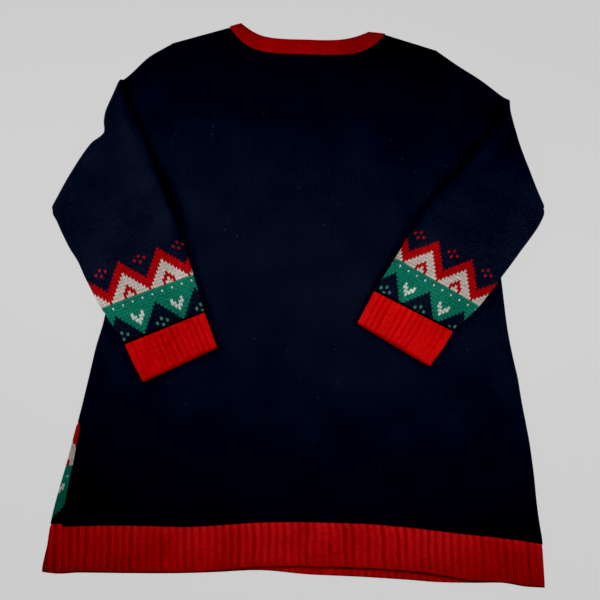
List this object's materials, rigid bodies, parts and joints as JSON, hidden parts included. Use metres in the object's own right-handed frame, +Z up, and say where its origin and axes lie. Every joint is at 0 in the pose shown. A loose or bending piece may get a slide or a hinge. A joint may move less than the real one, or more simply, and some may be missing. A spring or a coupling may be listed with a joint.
{
  "type": "christmas sweater dress",
  "caption": "Knitted A-line sweater dress laid flat on its front, with both sleeves folded over the back, ribbed bands and a zigzag jacquard above the cuffs.",
  "frame": {"origin": "centre of the laid-out garment's box, on the surface it lies on", "axes": "+Z up, away from the surface; +Y from the hem to the neck; +X to the right of the garment as it lies, back up"},
  "size_m": [0.6772, 0.7955, 0.0112],
  "materials": {
    "navy_jersey": "matte knit with a zigzag jacquard in red, cream and green",
    "red_rib": "matte ribbed knit"
  },
  "bodies": {
    "root": {"front_panel": "navy_jersey", "back_panel": "navy_jersey", "sleeve_left": "navy_jersey", "sleeve_right": "navy_jersey", "cuff_left": "red_rib", "cuff_right": "red_rib", "hem_front": "red_rib", "hem_back": "red_rib", "neckband": "red_rib"}
  },
  "joints": []
}
